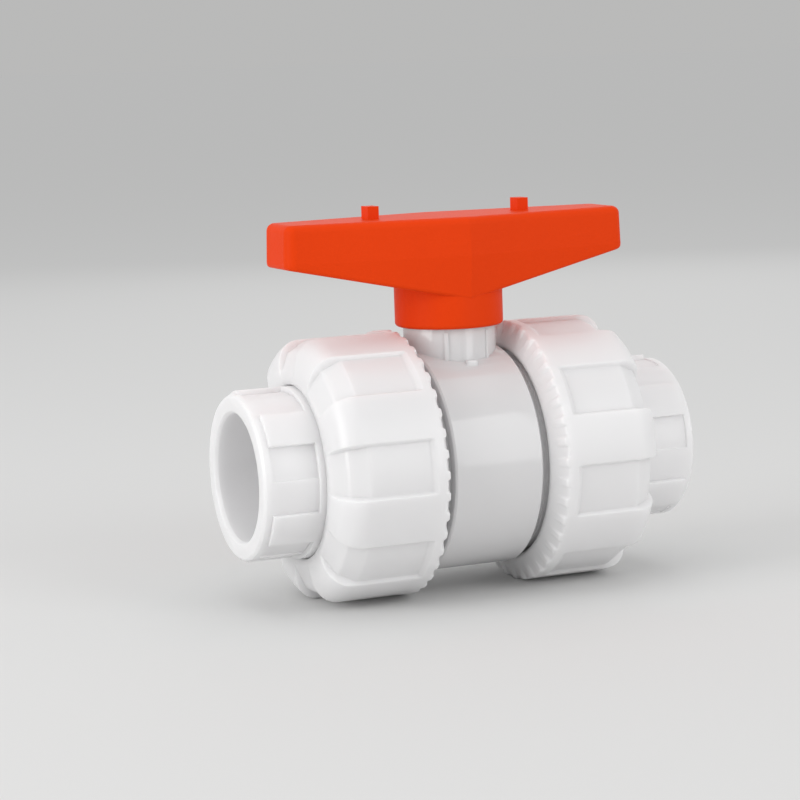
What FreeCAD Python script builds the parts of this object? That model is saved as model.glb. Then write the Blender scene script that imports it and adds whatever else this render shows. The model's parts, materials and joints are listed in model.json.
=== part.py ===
import FreeCAD, Part
import math
import os
import Sketcher

# Double-union ball valve for 32 mm plastic pipe. Millimetres.
# +X runs along the pipe, +Z up to the handle; z = 0 is under the union nuts.
# Inside each piece, x and z are counted from the centre of the ball.

SIZES = {
    # whole valve
    "axisHeight": 33.9, "flowBore": 12.5, "halfLength": 59.55,
    # valve body
    "barrelRadius": 28.5, "barrelHalf": 12.07, "barrelEdge": 0.5,
    "reliefRadius": 25.5, "reliefEnd": 14.3, "threadRadius": 25.9, "bodyEnd": 30.0,
    "cavityRadius": 20.4, "cavityHalf": 13.0, "pocketRadius": 17.25, "pocketFloor": 17.6,
    "carrierBore": 22.9, "carrierShoulder": 13.6,
    "towerRadius": 11.9, "towerFoot": 24.5, "towerTop": 38.5,
    "stopTop": 41.0, "stopInner": 7.6, "stopOuter": 11.6, "stopAngle": 64.4,
    "ribRadius": 12.3, "ribTop": 33.4, "ribAngle": 5.0,
    "tabRadius": 13.9, "tabTop": 26.2, "tabAngle": 12.0,
    "gateRadius": 1.6, "gateDrop": 28.9, "gateOffset": 6.0,
    # ball and stem
    "ballRadius": 19.5, "slotWidth": 5.0, "slotFloor": 15.4, "slotLength": 26.0,
    "stemRadius": 6.05, "stemHole": 6.1, "flangeRadius": 8.6, "flangeHole": 9.1,
    "flangeBottom": 19.9, "flangeTop": 22.9, "washerThickness": 1.4,
    "tongueWidth": 4.9, "tongueLength": 15.0, "tongueBottom": 15.6,
    "grooveFloor": 4.1, "grooveWidth": 2.0, "lowerGroove": 27.1, "upperGroove": 32.1,
    "stemRingWire": 0.95, "shankLong": 8.6, "shankShort": 8.2, "shankTop": 52.0,
    # seats and carrier
    "seatOuter": 17.1, "seatInner": 12.8, "seatFront": 11.8, "seatBack": 15.8,
    "ballPlay": 0.1, "cushionRadius": 15.1, "cushionWire": 0.9, "cushionPlace": 16.7,
    "carrierRadius": 22.6, "carrierFront": 13.9, "carrierBack": 29.4,
    "carrierRingPlace": 22.0, "carrierRingWire": 1.0, "carrierRingGroove": 1.1,
    "notchInner": 19.1, "notchWidth": 4.6, "notchDepth": 3.5,
    # union ends
    "endFace": 30.3, "endFlange": 26.2, "endFlangeBack": 35.9, "endRadius": 20.83,
    "gripStart": 45.4, "gripEnd": 57.3, "gripRadius": 21.8, "gripAngle": 25.0, "pocketDepth": 0.43,
    "socketRadius": 16.1, "socketMouth": 16.77, "socketDepth": 20.0, "mouthDepth": 1.0,
    "rimChamfer": 0.6, "sealRadius": 24.4, "sealWire": 1.0, "sealPlace": 31.05,
    "sealGroove": 1.1, "gripCount": 5,
    # union nuts
    "nutRadius": 33.9, "nutFront": 14.0, "nutMouth": 28.6,
    "toothFoot": 14.88, "toothFootRadius": 30.3, "toothTip": 15.95, "toothRoot": 16.75,
    "toothGap": 5.2, "toothCount": 40, "padCount": 8, "padAngle": 22.5,
    "padStart": 19.0, "padSlope": 20.4, "padFloor": 33.0, "coneStart": 36.6,
    "coneBreak": 41.2, "coneBreakRadius": 30.4,
    "nutEnd": 44.0, "nutFace": 24.4, "shoulderStart": 41.1, "shoulderRound": 5.4,
    "nutBore": 27.3, "nutShoulder": 36.3, "nutOpening": 22.15, "nutFaceRound": 1.2,
    # handle
    "handleHalf": 46.8, "handleMiddle": 15.1, "handleEnd": 8.3, "handleTop": 62.5,
    "partingHeight": 52.8, "armBottom": 51.6, "armMiddle": 41.6,
    "handleFoot": 41.0, "hubRadius": 13.9, "hubBottom": 34.27, "skirtRadius": 12.3,
    "skirtTop": 41.4, "keyAngle": 24.4, "keyBottom": 38.9, "keyOuter": 12.8,
    "shankPlay": 0.1, "socketTop": 52.3, "cornerRound": 3.0, "topRound": 2.0, "hubRound": 1.0,
    "underRound": 1.0,
    "lugPlace": 20.85, "lugLong": 3.0, "lugWide": 4.3, "lugTop": 65.7,
    "upperDraft": -2.0, "lowerDraft": -5.0,
}
# angles about the stem, and the turns of the union parts about the pipe
RIB_PLACES = (-118.0, -62.0, 62.0, 118.0)
TAB_PLACES = (-90.0, 90.0)
KEY_PLACES = (135.0, 315.0)
GRIP_PHASE = {"left": 13.5, "right": 19.0}
NUT_PHASE = {"left": 38.5, "right": 11.25}

doc = FreeCAD.newDocument("UnionBallValve")
sheet = doc.addObject("Spreadsheet::Sheet", "Sizes")
for row, (alias, number) in enumerate(SIZES.items(), start=1):
    sheet.set(f"A{row}", alias)
    sheet.set(f"B{row}", str(number))
    sheet.setAlias(f"B{row}", alias)
doc.recompute()

V = FreeCAD.Vector
PIECES = []


def cells(text):
    """Write Sizes. before every alias in an expression."""
    for mark in "()-":
        text = text.replace(mark, f" {mark} ")
    words = text.split()
    return " ".join("Sizes." + word if word in SIZES else word for word in words)


def bind(thing, **sizes):
    for name, text in sizes.items():
        thing.setExpression(name.replace("__", "."), cells(text))


def place(piece, name, turn=None, x=None):
    """Lift a piece to the pipe axis, turned about it and set along it."""
    piece.Label = name
    if turn is not None:
        piece.Placement = FreeCAD.Placement(V(0, 0, 0), turn)
    bind(piece, Placement__Base__z="axisHeight")
    if x is not None:
        bind(piece, Placement__Base__x=x)
    PIECES.append(piece)
    return piece


def new_body(name):
    return doc.addObject("PartDesign::Body", name.title().replace("_", ""))


def new_sketch(body, plane_role, turn=0.0, lift=None):
    """A sketch on one of the body's own planes, turned about the stem axis or lifted."""
    plane = next(item for item in body.Origin.OriginFeatures if item.Role == plane_role)
    sketch = body.newObject("Sketcher::SketchObject", "Outline")
    sketch.AttachmentSupport = (plane, [""])
    sketch.MapMode = "FlatFace"
    sketch.AttachmentOffset = FreeCAD.Placement(V(0, 0, 0), FreeCAD.Rotation(V(0, 1, 0), turn))
    if lift:
        bind(sketch, AttachmentOffset__Base__z=lift)
    return sketch


def pin(sketch, kind, axis, geometry, text):
    """Fix one coordinate of a line's start to an expression."""
    if text == "0":
        sketch.addConstraint(Sketcher.Constraint("PointOnObject", geometry, 1, axis))
        return
    if text.startswith("-"):
        spot = Sketcher.Constraint(kind, geometry, 1, -1, 1, 1.0 + geometry)
        text = text[1:].strip()
    else:
        spot = Sketcher.Constraint(kind, -1, 1, geometry, 1, 1.0 + geometry)
    sketch.setExpression(f"Constraints[{sketch.addConstraint(spot)}]", cells(text))


def outline(body, plane_role, corners, turn=0.0, lift=None):
    """A closed outline of straight lines through corners given as expressions."""
    sketch = new_sketch(body, plane_role, turn, lift)
    count = len(corners)
    for number in range(count):
        start, end = V(number, number * number, 0), V(number + 1, (number + 1) ** 2, 0)
        sketch.addGeometry(Part.LineSegment(start, end))
    for number in range(count):
        after = (number + 1) % count
        sketch.addConstraint(Sketcher.Constraint("Coincident", number, 2, after, 1))
    for number, (across, up) in enumerate(corners):
        pin(sketch, "DistanceX", -2, number, across)
        pin(sketch, "DistanceY", -1, number, up)
    return sketch


def rectangle(body, plane_role, low, high, turn=0.0, lift=None):
    corners = [low, (high[0], low[1]), high, (low[0], high[1])]
    return outline(body, plane_role, corners, turn, lift)


def circle(body, radius, across="0", lift=None):
    sketch = new_sketch(body, "XY_Plane", 0.0, lift)
    sketch.addGeometry(Part.Circle(V(0, 0, 0), V(0, 0, 1), 5.0))
    sketch.addConstraint(Sketcher.Constraint("PointOnObject", 0, 3, -1))
    size = sketch.addConstraint(Sketcher.Constraint("Radius", 0, 5.0))
    sketch.setExpression(f"Constraints[{size}]", cells(radius))
    if across == "0":
        sketch.addConstraint(Sketcher.Constraint("PointOnObject", 0, 3, -2))
    else:
        spot = sketch.addConstraint(Sketcher.Constraint("DistanceX", 0, 3, -1, 1, 1.0))
        sketch.setExpression(f"Constraints[{spot}]", cells(across))
    return sketch


def turned(body, sketch, axis="H_Axis", angle=None, cut=False, lean=0):
    """Revolve a sketch about the pipe (H_Axis) or the stem (V_Axis), to one side if it leans."""
    before = body.Shape.Volume if cut else 0.0
    kind = "PartDesign::Groove" if cut else "PartDesign::Revolution"
    feature = body.newObject(kind, "Turned")
    feature.Profile = sketch
    feature.ReferenceAxis = (sketch, [axis])
    feature.Midplane = angle is not None and lean == 0
    feature.Reversed = lean > 0
    if angle:
        bind(feature, Angle=angle)
    doc.recompute()
    if cut and body.Shape.Volume >= before:
        raise RuntimeError(f"a groove in {body.Name} cuts nothing")
    return feature


def pushed(body, sketch, length, cut=False, back=False, both=False, draft=None):
    """Pad or pocket a sketch, upwards unless back is set."""
    before = body.Shape.Volume if cut else 0.0
    feature = body.newObject("PartDesign::Pocket" if cut else "PartDesign::Pad", "Pushed")
    feature.Profile = sketch
    feature.Midplane = both
    feature.Reversed = back != cut
    bind(feature, Length=length)
    if draft:
        bind(feature, TaperAngle=draft)
    doc.recompute()
    if cut and body.Shape.Volume >= before:
        raise RuntimeError(f"a pocket in {body.Name} cuts nothing")
    return feature


def ring_of(body, feature, sketch, count, axis="H_Axis"):
    pattern = body.newObject("PartDesign::PolarPattern", "Ring")
    pattern.Originals = [feature]
    pattern.Axis = (sketch, [axis])
    pattern.Angle = 360.0
    bind(pattern, Occurrences=count)
    body.Tip = pattern
    doc.recompute()


def rounded(body, radius, wanted):
    """Fillet every edge that wanted() picks."""
    names = [f"Edge{n}" for n, edge in enumerate(body.Shape.Edges, start=1) if wanted(edge)]
    solid = body.Tip
    feature = body.newObject("PartDesign::Fillet", "Rounded")
    feature.Base = (solid, names)
    bind(feature, Radius=radius)
    doc.recompute()
    return feature


def sector(body, places, angle, inner, bottom, outer, top):
    """Blocks about the stem axis, each an arc of a ring."""
    for turn in places:
        sketch = rectangle(body, "XZ_Plane", (inner, bottom), (outer, top), turn=turn)
        turned(body, sketch, "V_Axis", angle)


def side_turn(side, phase=0.0):
    """A right-hand piece as it is, or turned half round the stem for the left."""
    about_pipe = FreeCAD.Rotation(V(1, 0, 0), phase)
    half = FreeCAD.Rotation(V(0, 0, 1), 180.0 if side == "left" else 0.0)
    return about_pipe.multiply(half)


def make_valve_body():
    body = new_body("valve_body")
    corners = [("-bodyEnd", "flowBore"), ("-bodyEnd", "threadRadius")]
    corners += [("-reliefEnd", "threadRadius"), ("-reliefEnd", "reliefRadius")]
    corners += [("-barrelHalf", "reliefRadius"), ("-barrelHalf", "barrelRadius - barrelEdge")]
    corners += [("-( barrelHalf - barrelEdge )", "barrelRadius")]
    corners += [("barrelHalf - barrelEdge", "barrelRadius")]
    corners += [("barrelHalf", "barrelRadius - barrelEdge"), ("barrelHalf", "reliefRadius")]
    corners += [("reliefEnd", "reliefRadius"), ("reliefEnd", "threadRadius")]
    corners += [("bodyEnd", "threadRadius"), ("bodyEnd", "carrierBore")]
    corners += [("carrierShoulder", "carrierBore"), ("carrierShoulder", "cavityRadius")]
    corners += [("-cavityHalf", "cavityRadius"), ("-cavityHalf", "pocketRadius")]
    corners += [("-pocketFloor", "pocketRadius"), ("-pocketFloor", "flowBore")]
    turned(body, outline(body, "XZ_Plane", corners))
    pushed(body, circle(body, "towerRadius", lift="towerFoot"), "towerTop - towerFoot")
    sector(body, (0.0, 180.0), "stopAngle", "stopInner", "towerFoot", "stopOuter", "stopTop")
    sector(body, RIB_PLACES, "ribAngle", "stopInner", "towerFoot", "ribRadius", "ribTop")
    sector(body, TAB_PLACES, "tabAngle", "stopInner", "towerFoot", "tabRadius", "tabTop")
    corners = [("0", "reliefEnd"), ("flangeHole", "reliefEnd"), ("flangeHole", "towerFoot")]
    corners += [("stemHole", "towerFoot"), ("stemHole", "stopTop + 1"), ("0", "stopTop + 1")]
    turned(body, outline(body, "XZ_Plane", corners), "V_Axis", cut=True)
    gate = circle(body, "gateRadius", across="gateOffset", lift="0 - gateDrop")
    pushed(body, gate, "gateDrop - reliefRadius")
    place(body, "valve_body")


def make_ball():
    body = new_body("ball")
    sketch = new_sketch(body, "XZ_Plane")
    rim = Part.Circle(V(0, 0, 0), V(0, 0, 1), 19.0)
    sketch.addGeometry(Part.ArcOfCircle(rim, 0.7, 2.4))
    sketch.addGeometry(Part.LineSegment(V(-14, 12, 0), V(14, 12, 0)))
    sketch.addConstraint(Sketcher.Constraint("Coincident", 0, 3, -1, 1))
    sketch.addConstraint(Sketcher.Constraint("Coincident", 0, 2, 1, 1))
    sketch.addConstraint(Sketcher.Constraint("Coincident", 1, 2, 0, 1))
    sketch.addConstraint(Sketcher.Constraint("Horizontal", 1))
    size = sketch.addConstraint(Sketcher.Constraint("Radius", 0, 19.0))
    sketch.setExpression(f"Constraints[{size}]", cells("ballRadius"))
    bore = sketch.addConstraint(Sketcher.Constraint("DistanceY", -1, 1, 1, 1, 12.0))
    sketch.setExpression(f"Constraints[{bore}]", cells("flowBore"))
    turned(body, sketch)
    low, high = ("-slotWidth / 2", "-slotLength / 2"), ("slotWidth / 2", "slotLength / 2")
    slot = rectangle(body, "XY_Plane", low, high, lift="slotFloor")
    pushed(body, slot, "ballRadius", cut=True)
    place(body, "ball")


def make_stem():
    body = new_body("stem")
    corners = [("0", "flangeBottom"), ("flangeRadius", "flangeBottom")]
    corners += [("flangeRadius", "flangeTop"), ("stemRadius", "flangeTop")]
    for groove in ("lowerGroove", "upperGroove"):
        corners += [("stemRadius", groove), ("grooveFloor", groove)]
        corners += [("grooveFloor", groove + " + grooveWidth")]
        corners += [("stemRadius", groove + " + grooveWidth")]
    corners += [("stemRadius", "stopTop"), ("0", "stopTop")]
    turned(body, outline(body, "XZ_Plane", corners), "V_Axis")
    low, high = ("-tongueWidth / 2", "-tongueLength / 2"), ("tongueWidth / 2", "tongueLength / 2")
    tongue = rectangle(body, "XY_Plane", low, high, lift="tongueBottom")
    pushed(body, tongue, "flangeTop - tongueBottom")
    low, high = ("-shankShort / 2", "-shankLong / 2"), ("shankShort / 2", "shankLong / 2")
    shank = rectangle(body, "XY_Plane", low, high, lift="stopTop - 1")
    pushed(body, shank, "shankTop - stopTop + 1")
    place(body, "stem")


def make_ring(name, major, wire, x=None, lift=None):
    """An O-ring: about the pipe when x is given, about the stem when lift is given."""
    ring = doc.addObject("Part::Torus", name.title().replace("_", ""))
    bind(ring, Radius1=major, Radius2=wire)
    if x is not None:
        place(ring, name, FreeCAD.Rotation(V(0, 1, 0), 90.0), x)
    else:
        place(ring, name)
        bind(ring, Placement__Base__z="axisHeight + " + lift)


def make_stem_seals():
    for level in ("lower", "upper"):
        lift = f"{level}Groove + grooveWidth / 2"
        make_ring(f"stem_o_ring_{level}", "grooveFloor + stemRingWire", "stemRingWire", lift=lift)
    plate = doc.addObject("Part::Cylinder", "WasherPlate")
    hole = doc.addObject("Part::Cylinder", "WasherHole")
    bind(plate, Radius="flangeHole - 0.3", Height="washerThickness")
    bind(hole, Radius="stemRadius + 0.3", Height="washerThickness")
    washer = doc.addObject("Part::Cut", "StemWasher")
    washer.Base, washer.Tool = plate, hole
    place(washer, "stem_washer")
    bind(washer, Placement__Base__z="axisHeight + flangeTop + 0.1")


def make_seat(side):
    """A seat ring with a hollow face that fits the ball, and the cushion ring behind it."""
    plate = doc.addObject("Part::Cylinder", f"SeatPlate{side.title()}")
    hole = doc.addObject("Part::Cylinder", f"SeatHole{side.title()}")
    hollow = doc.addObject("Part::Sphere", f"SeatHollow{side.title()}")
    along = FreeCAD.Rotation(V(0, 1, 0), 90.0)
    for cylinder, radius in ((plate, "seatOuter"), (hole, "seatInner")):
        cylinder.Placement = FreeCAD.Placement(V(0, 0, 0), along)
        bind(cylinder, Radius=radius, Height="seatBack - seatFront", Placement__Base__x="seatFront")
    bind(hollow, Radius="ballRadius + ballPlay")
    tube = doc.addObject("Part::Cut", f"SeatTube{side.title()}")
    tube.Base, tube.Tool = plate, hole
    seat = doc.addObject("Part::Cut", f"BallSeat{side.title()}")
    seat.Base, seat.Tool = tube, hollow
    place(seat, f"ball_seat_{side}", side_turn(side))
    x = "cushionPlace" if side == "right" else "-cushionPlace"
    make_ring(f"seat_cushion_ring_{side}", "cushionRadius", "cushionWire", x=x)


def make_seat_carrier():
    body = new_body("seat_carrier")
    corners = [("carrierFront", "pocketRadius"), ("carrierFront", "carrierRadius")]
    low, high = "carrierRingPlace - carrierRingGroove", "carrierRingPlace + carrierRingGroove"
    floor = "carrierRadius - 2 * carrierRingWire - 0.05"
    corners += [(low, "carrierRadius"), (low, floor), (high, floor), (high, "carrierRadius")]
    corners += [("carrierBack", "carrierRadius"), ("carrierBack", "flowBore")]
    corners += [("pocketFloor", "flowBore"), ("pocketFloor", "pocketRadius")]
    turned(body, outline(body, "XZ_Plane", corners))
    for sign in ("", "-"):
        low = ("carrierBack - notchDepth", sign + "notchInner")
        high = ("carrierBack + 1", sign + "( carrierRadius + 1 )")
        notch = rectangle(body, "XZ_Plane", low, high)
        pushed(body, notch, "notchWidth", cut=True, both=True)
    place(body, "seat_carrier")
    ring = "carrierRadius - carrierRingWire - 0.04"
    make_ring("carrier_o_ring", ring, "carrierRingWire", x="carrierRingPlace")


def make_union_end(side):
    body = new_body(f"union_end_{side}")
    low, high = "sealRadius - sealGroove", "sealRadius + sealGroove"
    groove = "sealPlace + sealWire + 0.05"
    socket = "halfLength - socketDepth"
    corners = [("endFace", "flowBore"), ("endFace", low), (groove, low), (groove, high)]
    corners += [("endFace", high), ("endFace", "endFlange"), ("endFlangeBack", "endFlange")]
    corners += [("endFlangeBack", "gripRadius"), ("gripEnd", "gripRadius")]
    corners += [("gripEnd", "endRadius"), ("halfLength - rimChamfer", "endRadius")]
    corners += [("halfLength", "endRadius - rimChamfer"), ("halfLength", "socketMouth")]
    corners += [("halfLength - mouthDepth", "socketRadius"), (socket, "socketRadius")]
    corners += [(socket, "flowBore")]
    turned(body, outline(body, "XZ_Plane", corners))
    # between the raised ribs the tube is cut down to the collar, and deeper in shallow pockets
    low, high = ("gripStart", "endRadius"), ("gripEnd", "gripRadius + 1")
    between = rectangle(body, "XZ_Plane", low, high)
    cut = turned(body, between, angle="360 / gripCount - gripAngle", cut=True)
    ring_of(body, cut, between, "gripCount")
    low = ("gripStart", "endRadius - pocketDepth")
    shallow = rectangle(body, "XZ_Plane", low, high)
    lean = 1 if side == "right" else -1
    cut = turned(body, shallow, angle="( 360 / gripCount - gripAngle ) / 2", cut=True, lean=lean)
    ring_of(body, cut, shallow, "gripCount")
    place(body, f"union_end_{side}", side_turn(side, GRIP_PHASE[side]))
    x = "sealPlace" if side == "right" else "-sealPlace"
    make_ring(f"union_seal_{side}", "sealRadius", "sealWire", x=x)


def is_round_edge(edge, x, radius):
    if not isinstance(edge.Curve, Part.Circle):
        return False
    return abs(edge.Curve.Radius - radius) < 0.05 and abs(edge.Curve.Center.x - x) < 0.05


def make_union_nut(side):
    body = new_body(f"union_nut_{side}")
    corners = [("nutFront", "nutBore"), ("nutFront", "nutMouth")]
    corners += [("toothFoot", "toothFootRadius"), ("toothTip", "nutRadius")]
    corners += [("shoulderStart", "nutRadius"), ("nutEnd", "nutFace"), ("nutEnd", "nutOpening")]
    corners += [("nutShoulder", "nutOpening"), ("nutShoulder", "nutBore")]
    turned(body, outline(body, "XZ_Plane", corners))
    corner = (SIZES["shoulderStart"], SIZES["nutRadius"])
    rounded(body, "shoulderRound", lambda edge: is_round_edge(edge, *corner))
    face = (SIZES["nutEnd"], SIZES["nutFace"])
    rounded(body, "nutFaceRound", lambda edge: is_round_edge(edge, *face))
    # recesses between the raised pads
    corners = [("padStart", "nutRadius"), ("padSlope", "padFloor"), ("coneStart", "padFloor")]
    corners += [("coneBreak", "coneBreakRadius")]
    corners += [("nutEnd", "nutFace + 0.2"), ("nutEnd + 1", "nutFace + 0.2")]
    corners += [("nutEnd + 1", "nutRadius + 1"), ("padStart", "nutRadius + 1")]
    recess = outline(body, "XZ_Plane", corners)
    cut = turned(body, recess, angle="padAngle", cut=True)
    ring_of(body, cut, recess, "padCount")
    # gaps between the teeth on the inner cone
    corners = [("toothFoot", "toothFootRadius"), ("toothRoot", "nutRadius")]
    corners += [("toothRoot", "nutRadius + 1"), ("toothFoot", "nutRadius + 1")]
    gap = outline(body, "XZ_Plane", corners)
    cut = turned(body, gap, angle="toothGap", cut=True)
    ring_of(body, cut, gap, "toothCount")
    place(body, f"union_nut_{side}", side_turn(side, NUT_PHASE[side]))


def handle_plan(body):
    """The bar seen from above: widest in the middle, with rounded ends."""
    sketch = new_sketch(body, "XY_Plane", lift="partingHeight")
    ridge = V(0, SIZES["handleMiddle"], 0)
    corner = V(SIZES["handleHalf"], SIZES["handleEnd"], 0)
    slant = (ridge - corner).normalize()
    half_angle = slant.getAngle(V(0, -1, 0)) / 2
    reach = SIZES["cornerRound"] / math.tan(half_angle)
    on_end, on_side = corner - V(0, reach, 0), corner + slant * reach
    centre = on_end - V(SIZES["cornerRound"], 0, 0)
    middle = centre + (corner - centre).normalize() * SIZES["cornerRound"]
    quarters = [(1, 1), (-1, 1), (-1, -1), (1, -1)]
    for across, up in quarters:
        flip = [V(p.x * across, p.y * up, 0) for p in (on_end, middle, on_side, ridge, corner)]
        sketch.addGeometry(Part.Arc(flip[0], flip[1], flip[2]))
        sketch.addGeometry(Part.LineSegment(flip[2], flip[3]))
        sketch.addGeometry(Part.Point(flip[4]))
    for across in (1, -1):
        low, high = V(on_end.x * across, -on_end.y, 0), V(on_end.x * across, on_end.y, 0)
        sketch.addGeometry(Part.LineSegment(low, high))
    for number, (across, up) in enumerate(quarters):
        arc, side, point = 3 * number, 3 * number + 1, 3 * number + 2
        end_line = 12 if across > 0 else 13
        # an arc runs anticlockwise, so its start is the end face's point on two of the corners
        first, last = (1, 2) if across * up > 0 else (2, 1)
        sketch.addConstraint(Sketcher.Constraint("Tangent", arc, last, side, 1))
        sketch.addConstraint(Sketcher.Constraint("Tangent", end_line, 2 if up > 0 else 1, arc, first))
        sketch.addConstraint(Sketcher.Constraint("PointOnObject", point, 1, side))
        for kind, sign, alias in (("DistanceX", across, "handleHalf"), ("DistanceY", up, "handleEnd")):
            ends = (-1, 1, point, 1) if sign > 0 else (point, 1, -1, 1)
            spot = sketch.addConstraint(Sketcher.Constraint(kind, *ends, SIZES[alias]))
            sketch.setExpression(f"Constraints[{spot}]", cells(alias))
        size = sketch.addConstraint(Sketcher.Constraint("Radius", arc, SIZES["cornerRound"]))
        sketch.setExpression(f"Constraints[{size}]", cells("cornerRound"))
    for one, other, order in ((1, 4, (-1, 1, 1, 2)), (7, 10, (7, 2, -1, 1))):
        sketch.addConstraint(Sketcher.Constraint("Coincident", one, 2, other, 2))
        sketch.addConstraint(Sketcher.Constraint("PointOnObject", one, 2, -2))
        spot = sketch.addConstraint(Sketcher.Constraint("DistanceY", *order, SIZES["handleMiddle"]))
        sketch.setExpression(f"Constraints[{spot}]", cells("handleMiddle"))
    for end_line, point in ((12, 2), (13, 5)):
        sketch.addConstraint(Sketcher.Constraint("Vertical", end_line))
        sketch.addConstraint(Sketcher.Constraint("PointOnObject", point, 1, end_line))
    return sketch


def make_handle():
    body = new_body("handle")
    upper = handle_plan(body)
    pushed(body, upper, "handleTop - partingHeight", draft="upperDraft")
    lower = handle_plan(body)
    pushed(body, lower, "partingHeight - handleFoot", back=True, draft="lowerDraft")
    for sign in ("", "-"):
        corners = [("0", "handleFoot - 1"), ("0", "armMiddle")]
        corners += [(sign + "handleHalf", "armBottom"), (sign + "( handleHalf + 2 )", "armBottom")]
        corners += [(sign + "( handleHalf + 2 )", "handleFoot - 1")]
        wedge = outline(body, "XZ_Plane", corners)
        pushed(body, wedge, "handleHalf", cut=True, both=True)
    height = SIZES["handleTop"]
    reach = SIZES["handleHalf"]

    def is_underside(edge):
        slope = (SIZES["armBottom"] - SIZES["armMiddle"]) / reach
        low = [abs(v.Z - SIZES["armMiddle"] - slope * abs(v.X)) < 0.2 for v in edge.Vertexes]
        middle = all(abs(v.X) < 0.01 for v in edge.Vertexes)
        return all(low) and not middle

    rounded(body, "topRound", lambda edge: all(v.Z > height - 0.01 for v in edge.Vertexes))
    rounded(body, "underRound", is_underside)
    pushed(body, circle(body, "hubRadius", lift="hubBottom"), "partingHeight - hubBottom")
    low = (SIZES["hubBottom"], SIZES["hubRadius"])
    rounded(body, "hubRound", lambda edge: isinstance(edge.Curve, Part.Circle)
            and abs(edge.Curve.Radius - low[1]) < 0.01 and abs(edge.Curve.Center.z - low[0]) < 0.01)
    low, high = ("0", "hubBottom - 1"), ("skirtRadius", "skirtTop")
    turned(body, rectangle(body, "XZ_Plane", low, high), "V_Axis", cut=True)
    sector(body, KEY_PLACES, "keyAngle", "stopInner", "keyBottom", "keyOuter", "skirtTop + 1")
    long_side, short_side = "( shankLong / 2 + shankPlay )", "( shankShort / 2 + shankPlay )"
    low, high = ("-" + short_side, "-" + long_side), (short_side, long_side)
    socket = rectangle(body, "XY_Plane", low, high, lift="skirtTop - 1")
    pushed(body, socket, "socketTop - skirtTop + 1", cut=True)
    for sign in ("", "-"):
        low = (sign + "( lugPlace - lugLong / 2 )", "-lugWide / 2")
        high = (sign + "( lugPlace + lugLong / 2 )", "lugWide / 2")
        lug = rectangle(body, "XY_Plane", low, high, lift="handleTop - 0.5")
        pushed(body, lug, "lugTop - handleTop + 0.5")
    place(body, "handle")


make_valve_body()
make_ball()
make_stem()
make_stem_seals()
for hand in ("left", "right"):
    make_seat(hand)
make_seat_carrier()
for hand in ("left", "right"):
    make_union_end(hand)
    make_union_nut(hand)
make_handle()
doc.recompute()

for item in doc.Objects:
    if "Invalid" in item.State or "Error" in item.State:
        raise RuntimeError(f"{item.Name} failed: {item.State}")
for piece in PIECES:
    if piece.Shape.isNull() or not piece.Shape.isValid() or len(piece.Shape.Solids) != 1:
        raise RuntimeError(f"{piece.Label} is not one valid solid")

os.makedirs("parts", exist_ok=True)
for piece in PIECES:
    piece.Shape.exportStep(f"parts/{piece.Label}.step")
    box = piece.Shape.BoundBox
    print(f"{piece.Label:26s} {piece.Shape.Volume / 1000:8.2f} cm3"
          f"  x {box.XMin:7.2f} {box.XMax:7.2f}  z {box.ZMin:6.2f} {box.ZMax:6.2f}")
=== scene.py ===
import bmesh
import bpy
import json
import math
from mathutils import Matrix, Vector


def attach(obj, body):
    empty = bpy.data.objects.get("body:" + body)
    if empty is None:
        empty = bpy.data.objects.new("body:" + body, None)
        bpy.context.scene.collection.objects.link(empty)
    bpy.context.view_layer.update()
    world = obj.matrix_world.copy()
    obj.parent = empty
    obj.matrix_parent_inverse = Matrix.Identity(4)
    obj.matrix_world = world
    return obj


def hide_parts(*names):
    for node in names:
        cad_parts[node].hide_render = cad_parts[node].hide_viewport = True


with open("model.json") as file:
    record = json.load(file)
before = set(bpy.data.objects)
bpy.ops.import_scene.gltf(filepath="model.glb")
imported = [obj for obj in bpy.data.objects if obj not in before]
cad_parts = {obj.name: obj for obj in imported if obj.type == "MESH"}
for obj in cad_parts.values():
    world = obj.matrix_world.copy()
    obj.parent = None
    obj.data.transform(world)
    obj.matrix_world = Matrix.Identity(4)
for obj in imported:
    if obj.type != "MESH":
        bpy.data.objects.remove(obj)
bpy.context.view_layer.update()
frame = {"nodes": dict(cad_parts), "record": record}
nodes = frame["nodes"]
axisHeight = frame["record"]["mounts"][0]["pos_m"][2]  # the pipe's axis above the floor
print("frame loaded", len(nodes), "pieces")

bpy.ops.object.select_all(action="DESELECT")

# metres from the ball's centre, degrees, and millimetres for the lens and its sensor
viewSet = {"place": (-0.26345, -0.58763, 0.10408), "turn": (82.122, 1.932, -23.236),
           "lens": 113.43, "sensor": 36.0}


def makeCamera():
    data = bpy.data.cameras.new("camera")
    data.lens = viewSet["lens"]
    data.sensor_width = viewSet["sensor"]
    camera = bpy.data.objects.new("camera", data)
    bpy.context.scene.collection.objects.link(camera)
    camera.location = Vector(viewSet["place"]) + Vector((0, 0, axisHeight))
    camera.rotation_euler = [math.radians(angle) for angle in viewSet["turn"]]
    bpy.context.scene.camera = camera


# metres and watts, and every light faces the ball
lightSet = {
    "rightStrip": {"place": (0.44, -0.88, 0.40), "wide": 0.46, "tall": 0.86, "power": 2.6},
    "leftBox": {"place": (-0.90, -0.14, 0.34), "wide": 0.50, "tall": 0.60, "power": 3.5},
    "topBox": {"place": (0.00, 0.10, 0.90), "wide": 0.90, "tall": 0.90, "power": 1.3},
    "backBox": {"place": (0.40, 0.75, 0.45), "wide": 0.60, "tall": 0.60, "power": 0.4},
}
stageSet = {"floorSize": 60.0, "floorColour": (0.72, 0.72, 0.715), "floorRough": 0.8,
            "skyColour": (0.995, 0.997, 1.0), "skyStrength": 0.68}


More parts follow.
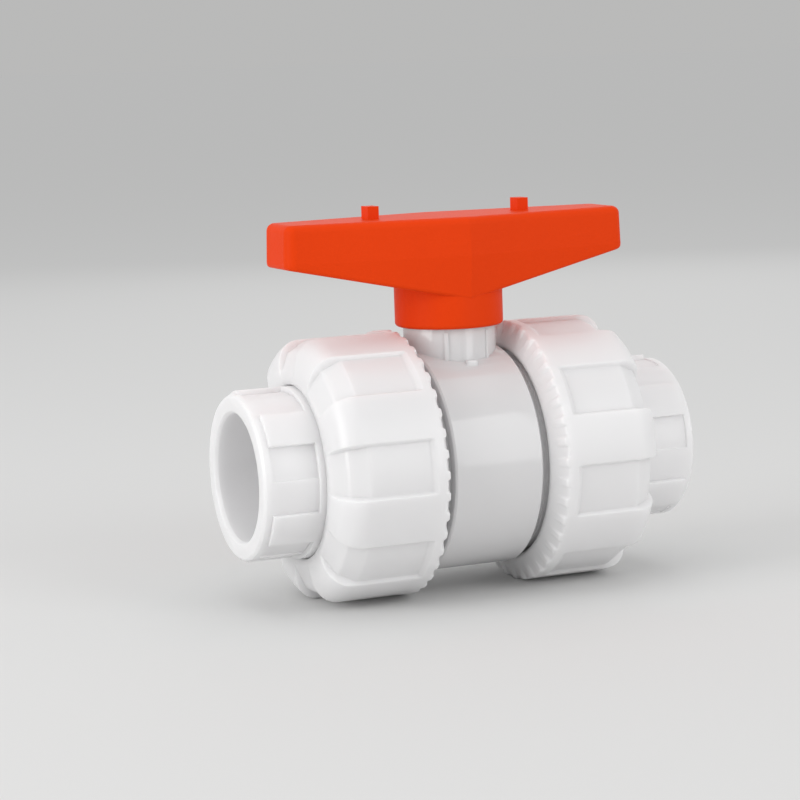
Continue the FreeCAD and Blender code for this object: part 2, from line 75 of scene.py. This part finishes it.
def makeLights():
    aim = Vector((0, 0, axisHeight))
    for name, light in lightSet.items():
        bpy.ops.object.light_add(type="AREA", location=light["place"])
        lamp = bpy.context.object
        lamp.name = "light." + name
        lamp.data.shape = "RECTANGLE"
        lamp.data.size = light["wide"]
        lamp.data.size_y = light["tall"]
        lamp.data.energy = light["power"]
        lamp.rotation_mode = "QUATERNION"
        lamp.rotation_quaternion = (aim - lamp.location).to_track_quat("-Z", "Y")
        lamp.visible_camera = False
    world = bpy.data.worlds.new("studio")
    bpy.context.scene.world = world
    world.use_nodes = True
    tree = world.node_tree
    sky = tree.nodes["Background"]
    sky.inputs["Color"].default_value = (*stageSet["skyColour"], 1.0)
    sky.inputs["Strength"].default_value = stageSet["skyStrength"]
    # seen directly, the sky is as bright as the far floor, so no horizon shows
    wall = tree.nodes.new("ShaderNodeBackground")
    wall.inputs["Color"].default_value = (*stageSet["floorColour"], 1.0)
    wall.inputs["Strength"].default_value = stageSet["skyStrength"]
    ray = tree.nodes.new("ShaderNodeLightPath")
    choose = tree.nodes.new("ShaderNodeMixShader")
    tree.links.new(ray.outputs["Is Camera Ray"], choose.inputs["Fac"])
    tree.links.new(sky.outputs["Background"], choose.inputs[1])
    tree.links.new(wall.outputs["Background"], choose.inputs[2])
    tree.links.new(choose.outputs["Shader"], tree.nodes["World Output"].inputs["Surface"])
    bpy.context.scene.view_settings.view_transform = "Standard"


def makeFloor():
    bpy.ops.mesh.primitive_plane_add(size=stageSet["floorSize"], location=(0, 0, 0))
    floor = bpy.context.object
    floor.name = "floor"
    paint = bpy.data.materials.new("floorPaint")
    paint.use_nodes = True
    shader = paint.node_tree.nodes["Principled BSDF"]
    shader.inputs["Base Color"].default_value = (*stageSet["floorColour"], 1.0)
    shader.inputs["Roughness"].default_value = stageSet["floorRough"]
    shader.inputs["Specular IOR Level"].default_value = 0.0
    floor.data.materials.append(paint)


makeCamera()
makeLights()
makeFloor()
print("camera, lights and floor ready")

finishes = {
    "body_plastic": {"colour": (0.715, 0.71, 0.715), "shade": (0.69, 0.685, 0.69), "rough": 0.13,
                     "milk": 0.35, "grain": 900.0, "bump": 0.008},
    "union_plastic": {"colour": (0.82, 0.815, 0.82), "shade": (0.79, 0.785, 0.79), "rough": 0.33,
                      "milk": 0.90, "grain": 900.0, "bump": 0.015},
    "ball_plastic": {"colour": (0.80, 0.80, 0.78), "shade": (0.77, 0.77, 0.75), "rough": 0.16,
                     "milk": 0.25, "grain": 500.0, "bump": 0.01},
    "seat_plastic": {"colour": (0.84, 0.83, 0.79), "shade": (0.80, 0.79, 0.75), "rough": 0.42,
                     "milk": 0.20, "grain": 700.0, "bump": 0.02},
    "seal_rubber": {"colour": (0.018, 0.018, 0.018), "shade": (0.012, 0.012, 0.012), "rough": 0.5,
                    "milk": 0.0, "grain": 1500.0, "bump": 0.05},
    "handle_plastic": {"colour": (0.82, 0.056, 0.005), "shade": (0.74, 0.047, 0.004), "rough": 0.42,
                       "milk": 0.0, "grain": 1800.0, "bump": 0.16, "shine": 0.05},
}

# the same for every finish: how the colour drifts, how high the grain stands, how far light soaks in
moulding = {"driftScale": 22.0, "driftDetail": 3.0, "roughSpread": 0.03, "grainDetail": 4.0,
            "grainHeight": 0.0005, "soak": 0.004, "ior": 1.49, "shine": 0.5}


def makeFinish(name):
    facts = finishes[name]
    paint = bpy.data.materials.new(name)
    paint.use_nodes = True
    tree = paint.node_tree
    shader = tree.nodes["Principled BSDF"]
    place = tree.nodes.new("ShaderNodeTexCoord")
    flow = tree.nodes.new("ShaderNodeTexNoise")
    flow.inputs["Scale"].default_value = moulding["driftScale"]
    flow.inputs["Detail"].default_value = moulding["driftDetail"]
    tree.links.new(place.outputs["Object"], flow.inputs["Vector"])
    mix = tree.nodes.new("ShaderNodeMix")
    mix.data_type = "RGBA"
    mix.inputs["A"].default_value = (*facts["shade"], 1.0)
    mix.inputs["B"].default_value = (*facts["colour"], 1.0)
    tree.links.new(flow.outputs["Fac"], mix.inputs["Factor"])
    tree.links.new(mix.outputs["Result"], shader.inputs["Base Color"])
    spread = tree.nodes.new("ShaderNodeMapRange")
    spread.inputs["To Min"].default_value = facts["rough"] - moulding["roughSpread"]
    spread.inputs["To Max"].default_value = facts["rough"] + moulding["roughSpread"]
    tree.links.new(flow.outputs["Fac"], spread.inputs["Value"])
    tree.links.new(spread.outputs["Result"], shader.inputs["Roughness"])
    grain = tree.nodes.new("ShaderNodeTexNoise")
    grain.inputs["Scale"].default_value = facts["grain"]
    grain.inputs["Detail"].default_value = moulding["grainDetail"]
    tree.links.new(place.outputs["Object"], grain.inputs["Vector"])
    bump = tree.nodes.new("ShaderNodeBump")
    bump.inputs["Strength"].default_value = facts["bump"]
    bump.inputs["Distance"].default_value = moulding["grainHeight"]
    tree.links.new(grain.outputs["Fac"], bump.inputs["Height"])
    tree.links.new(bump.outputs["Normal"], shader.inputs["Normal"])
    shader.inputs["IOR"].default_value = moulding["ior"]
    shader.inputs["Specular IOR Level"].default_value = facts.get("shine", moulding["shine"])
    if facts["milk"]:
        shader.inputs["Subsurface Weight"].default_value = facts["milk"]
        shader.inputs["Subsurface Radius"].default_value = (moulding["soak"],) * 3
        shader.inputs["Subsurface Scale"].default_value = 1.0
    return paint


paints = {name: makeFinish(name) for name in finishes}
slots = {row["node"]: row["material_slot"] for row in frame["record"]["subparts"]}


def paintNodes():
    for name, piece in nodes.items():
        piece.data.materials.clear()
        piece.data.materials.append(paints[slots[name]])


paintNodes()
print("materials ready")

# the softened edge's width in metres, and angles in degrees
softSet = {"pieces": ("union_end_left", "union_end_right", "valve_body"), "width": 0.00022,
           "segments": 3, "sharpest": 28, "flat": 0.3, "smooth": 40}
weld = 0.000002  # points closer than this, in metres, become one
bodyOf = {n: b for b, group in frame["record"]["behaviour"]["bodies"].items() for n in group}


def only(piece):
    bpy.ops.object.select_all(action="DESELECT")
    piece.select_set(True)
    bpy.context.view_layer.objects.active = piece


def useModifier(piece, kind, **facts):
    only(piece)
    change = piece.modifiers.new(kind.lower(), kind)
    for name, value in facts.items():
        setattr(change, name, value)
    bpy.ops.object.modifier_apply(modifier=change.name)


def soften(name):
    piece = nodes[name].copy()
    piece.data = nodes[name].data.copy()
    bpy.context.scene.collection.objects.link(piece)
    piece.parent = None
    piece.name = name + ".moulded"
    for key in list(piece.keys()):
        del piece[key]
    only(piece)
    bpy.ops.mesh.customdata_custom_splitnormals_clear()
    bpy.ops.object.mode_set(mode="EDIT")
    bpy.ops.mesh.select_all(action="SELECT")
    bpy.ops.mesh.remove_doubles(threshold=weld)
    bpy.ops.mesh.dissolve_limited(angle_limit=math.radians(softSet["flat"]))
    bpy.ops.object.mode_set(mode="OBJECT")
    useModifier(piece, "BEVEL", width=softSet["width"], segments=softSet["segments"],
                limit_method="ANGLE", angle_limit=math.radians(softSet["sharpest"]),
                use_clamp_overlap=True)
    only(piece)
    bpy.ops.object.shade_smooth_by_angle(angle=math.radians(softSet["smooth"]))
    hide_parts(name)
    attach(piece, bodyOf[name])
    return piece


for name in softSet["pieces"]:
    moulded = soften(name)
    print("softened", name, len(moulded.data.polygons), "faces")


# millimetres from the ball's centre, outwards along the pipe, and from the pipe's axis
nutSet = {
    "radius": 33.9, "front": 14.0, "mouth": 28.6, "bore": 27.3, "end": 44.0, "face": 24.4,
    "shoulder": 36.3, "opening": 22.15, "lip": 0.3, "toothFoot": 14.88, "toothFootRadius": 30.3,
    "toothTip": 15.95, "toothRoot": 16.75, "rimEnd": 19.0, "slopeEnd": 20.4, "floor": 33.0,
    "coneStart": 36.6, "coneBreak": 41.2, "coneBreakRadius": 30.4, "roundStart": 36.9,
    "roundness": 2.45, "pads": 8, "teeth": 40, "toothShare": 0.42, "columns": 110,
    "wall": 0.9, "toothWall": 1.3, "mouthEdge": 0.1, "tipEdge": 0.2, "rootEdge": 0.12,
    "rootDrop": 0.05, "rimFlat": 0.5, "rimStop": 0.35, "floorEdge": 0.4, "faceFlat": 0.8,
    "floorStops": 8, "roundStops": 14, "breakStops": 8, "smooth": 50,
}
nutTurn = {"left": 38.5, "right": 11.25}  # degrees round the pipe's axis


def between(low, high, share):
    return low + (high - low) * share


def nutOutline():
    # each stop is a point on the raised pad, and where it goes in a recess and in a tooth gap
    facts = nutSet
    lip, top = facts["lip"], facts["radius"]
    stops = [((x, r), None, None) for x, r in (
        (facts["shoulder"], facts["bore"]), (facts["front"] + lip, facts["bore"]),
        (facts["front"], facts["bore"] + lip), (facts["front"], facts["mouth"] - lip),
        (facts["front"] + facts["mouthEdge"], facts["mouth"] + facts["mouthEdge"]))]
    for share in (0.0, 0.25, 0.5, 0.75, 0.93):
        r = between(facts["toothFootRadius"], top, share)
        stops.append(((between(facts["toothFoot"], facts["toothTip"], share), r), None,
                      (between(facts["toothFoot"], facts["toothRoot"], share), r)))
    stops.append(((facts["toothTip"] + facts["tipEdge"], top), None,
                  (facts["toothRoot"] + facts["rootEdge"], top - facts["rootDrop"])))
    stops += [((x, top), None, None) for x in (facts["toothRoot"] + facts["rimFlat"],
                                               facts["rimEnd"] - facts["rimStop"])]
    for share in (0.0, 0.15, 0.5, 0.85, 1.0):
        x = between(facts["rimEnd"], facts["slopeEnd"], share)
        stops.append(((x, top), (x, between(top, facts["floor"], share)), None))
    edge, count = facts["floorEdge"], facts["floorStops"]
    for step in range(count + 1):
        x = between(facts["slopeEnd"] + edge, facts["coneStart"] - edge, step / count)
        stops.append(((x, top), (x, facts["floor"]), None))
    # the pads round over in a full quarter, the recesses fall in two slopes
    wide, tall, power = facts["end"] - facts["roundStart"], top - facts["face"], facts["roundness"]
    count, turnOver = facts["roundStops"], facts["breakStops"]
    for step in range(count + 1):
        angle = math.radians(90 * step / count)
        across, along = math.sin(angle), math.cos(angle)
        bulge = (across ** power + along ** power) ** (-1 / power)
        pad = (facts["roundStart"] + wide * across * bulge, facts["face"] + tall * along * bulge)
        if step < turnOver:
            share = step / turnOver
            low = (between(facts["coneStart"], facts["coneBreak"], share),
                   between(facts["floor"], facts["coneBreakRadius"], share))
        else:
            share = (step - turnOver) / (count - turnOver)
            low = (between(facts["coneBreak"], facts["end"], share),
                   between(facts["coneBreakRadius"], facts["face"], share))
        stops.append((pad, low, None))
    stops += [((x, r), None, None) for x, r in (
        (facts["end"], facts["face"] - facts["faceFlat"]), (facts["end"], facts["opening"] + lip),
        (facts["end"] - lip, facts["opening"]), (facts["shoulder"], facts["opening"]))]
    return stops


def rise(angle, pitch, share, wall):
    away = abs((angle + pitch / 2) % pitch - pitch / 2)
    part = min(1.0, max(0.0, (pitch * share / 2 + wall / 2 - away) / wall))
    return round(part * part * (3 - 2 * part), 4)


def pick(piece, wanted):
    mesh = bmesh.from_edit_mesh(piece.data)
    mesh.verts.ensure_lookup_table()
    for vert in mesh.verts:
        vert.select_set(False)
    for index in wanted:
        mesh.verts[index].select_set(True)
    bmesh.update_edit_mesh(piece.data)


def drawLoop(name, spots):
    # a closed outline above the pipe's axis, drawn point by point
    bpy.ops.object.select_all(action="DESELECT")
    bpy.ops.mesh.primitive_plane_add(size=0.001, location=(0, 0, 0))
    piece = bpy.context.object
    piece.name = name
    bpy.ops.object.mode_set(mode="EDIT")
    bpy.ops.mesh.select_mode(type="VERT")
    bpy.ops.mesh.merge(type="CENTER")
    here = spots[0]
    bpy.ops.transform.translate(value=(here[0] / 1000, 0, here[1] / 1000))
    for spot in spots[1:] + spots[:1]:
        step = ((spot[0] - here[0]) / 1000, 0, (spot[1] - here[1]) / 1000)
        bpy.ops.mesh.extrude_region_move(TRANSFORM_OT_translate={"value": step})
        here = spot
    bpy.ops.mesh.select_all(action="SELECT")
    bpy.ops.mesh.remove_doubles(threshold=weld)
    bpy.ops.object.mode_set(mode="OBJECT")
    return piece


def makeSegment():
    facts, stops = nutSet, nutOutline()
    piece = drawLoop("nutSegment", [stop[0] for stop in stops])
    bpy.ops.object.mode_set(mode="EDIT")
    bpy.ops.mesh.select_all(action="SELECT")
    bpy.ops.mesh.spin(steps=facts["columns"], angle=math.radians(360 / facts["pads"]),
                      center=(0, 0, 0), axis=(1, 0, 0))
    bpy.ops.mesh.select_all(action="DESELECT")
    # sort the points by stop, and by how far into a recess or a tooth gap they stand
    groups = {}
    mesh = bmesh.from_edit_mesh(piece.data)
    for vert in mesh.verts:
        x, r = vert.co.x * 1000, math.hypot(vert.co.y, vert.co.z) * 1000
        angle = math.degrees(math.atan2(-vert.co.y, vert.co.z))
        spot = min(range(len(stops)), key=lambda n: abs(stops[n][0][0] - x) + abs(stops[n][0][1] - r))
        # a recess is as wide as a pad
        for kind, level in ((1, rise(angle, 360 / facts["pads"], 0.5, facts["wall"])),
                            (2, 1 - rise(angle + 180 / facts["teeth"], 360 / facts["teeth"],
                                         facts["toothShare"], facts["toothWall"]))):
            if stops[spot][kind] and level:
                groups.setdefault((spot, kind, level), []).append(vert.index)
    for (spot, kind, level), wanted in groups.items():
        (x, r), (lowX, lowR) = stops[spot][0], stops[spot][kind]
        pick(piece, wanted)
        size = 1 + (lowR / r - 1) * level
        bpy.ops.transform.resize(value=(1, size, size), center_override=(0, 0, 0))
        bpy.ops.transform.translate(value=((lowX - x) * level / 1000, 0, 0))
    print("nut segment shaped in", len(groups), "moves")
    bpy.ops.object.mode_set(mode="OBJECT")
    return piece


def makeNut(segment, side):
    facts = nutSet
    outward = 1 if side == "right" else -1
    piece = segment.copy()
    piece.data = segment.data.copy()
    piece.name = "union_nut_" + side + ".moulded"
    bpy.context.scene.collection.objects.link(piece)
    only(piece)
    bpy.ops.object.mode_set(mode="EDIT")
    bpy.ops.mesh.select_all(action="SELECT")
    bpy.ops.mesh.spin(steps=facts["pads"], angle=math.radians(360), center=(0, 0, 0),
                      axis=(1, 0, 0), dupli=True)
    bpy.ops.mesh.select_all(action="SELECT")
    bpy.ops.mesh.remove_doubles(threshold=2 * weld)
    bpy.ops.mesh.delete_loose()
    bpy.ops.mesh.select_all(action="SELECT")
    bpy.ops.transform.resize(value=(outward, 1, 1), center_override=(0, 0, 0))
    bpy.ops.object.mode_set(mode="OBJECT")
    piece.rotation_euler.x = math.radians(nutTurn[side])
    piece.location.z = axisHeight
    bpy.ops.object.transform_apply(location=True, rotation=True, scale=True)
    bpy.ops.object.mode_set(mode="EDIT")
    bpy.ops.mesh.select_all(action="SELECT")
    bpy.ops.mesh.normals_make_consistent(inside=False)
    bpy.ops.object.mode_set(mode="OBJECT")
    bpy.ops.object.shade_smooth_by_angle(angle=math.radians(facts["smooth"]))
    piece.data.materials.append(paints["union_plastic"])
    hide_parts("union_nut_" + side)
    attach(piece, side + "_nut")
    print("union nut", side, len(piece.data.polygons), "faces")


segment = makeSegment()
for side in ("left", "right"):
    makeNut(segment, side)
bpy.data.objects.remove(segment)

# right-handed threads, in millimetres and degrees
threadSet = {"pitch": 4.0, "turns": 3, "steps": 120, "smooth": 30}
# half a turn apart, the nut's ridge runs midway between the body's
ridges = {
    "body_thread": {"start": 16.2, "turn": 0, "root": 25.7, "crest": 27.1, "foot": 1.25, "tip": 0.4,
                    "finish": "body_plastic"},
    "nut_thread": {"start": 16.2, "turn": 180, "root": 27.5, "crest": 26.1, "foot": 1.25, "tip": 0.4,
                   "finish": "union_plastic"},
}


def makeThread(kind, side, rider):
    facts = ridges[kind]
    start, foot, tip = facts["start"], facts["foot"], facts["tip"]
    piece = drawLoop(kind + "_" + side, [(start - foot, facts["root"]), (start - tip, facts["crest"]),
                                         (start + tip, facts["crest"]), (start + foot, facts["root"])])
    useModifier(piece, "SCREW", axis="X", angle=math.radians(360), iterations=threadSet["turns"],
                screw_offset=threadSet["pitch"] / 1000, steps=threadSet["steps"],
                render_steps=threadSet["steps"], use_merge_vertices=False)
    bpy.ops.object.mode_set(mode="EDIT")
    bpy.ops.mesh.select_all(action="SELECT")
    bpy.ops.mesh.remove_doubles(threshold=weld)
    bpy.ops.mesh.fill_holes(sides=4)
    bpy.ops.mesh.select_all(action="SELECT")
    bpy.ops.mesh.normals_make_consistent(inside=False)
    bpy.ops.object.mode_set(mode="OBJECT")
    half = math.radians(180) if side == "left" else 0
    piece.rotation_euler = (math.radians(facts["turn"]), 0, half)
    piece.location.z = axisHeight
    bpy.ops.object.transform_apply(location=True, rotation=True, scale=True)
    bpy.ops.object.shade_smooth_by_angle(angle=math.radians(threadSet["smooth"]))
    piece.data.materials.append(paints[facts["finish"]])
    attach(piece, rider)
    return piece


for side in ("left", "right"):
    makeThread("body_thread", side, "housing")
    thread = makeThread("nut_thread", side, side + "_nut")
    print("threads cut", side, len(thread.data.polygons))
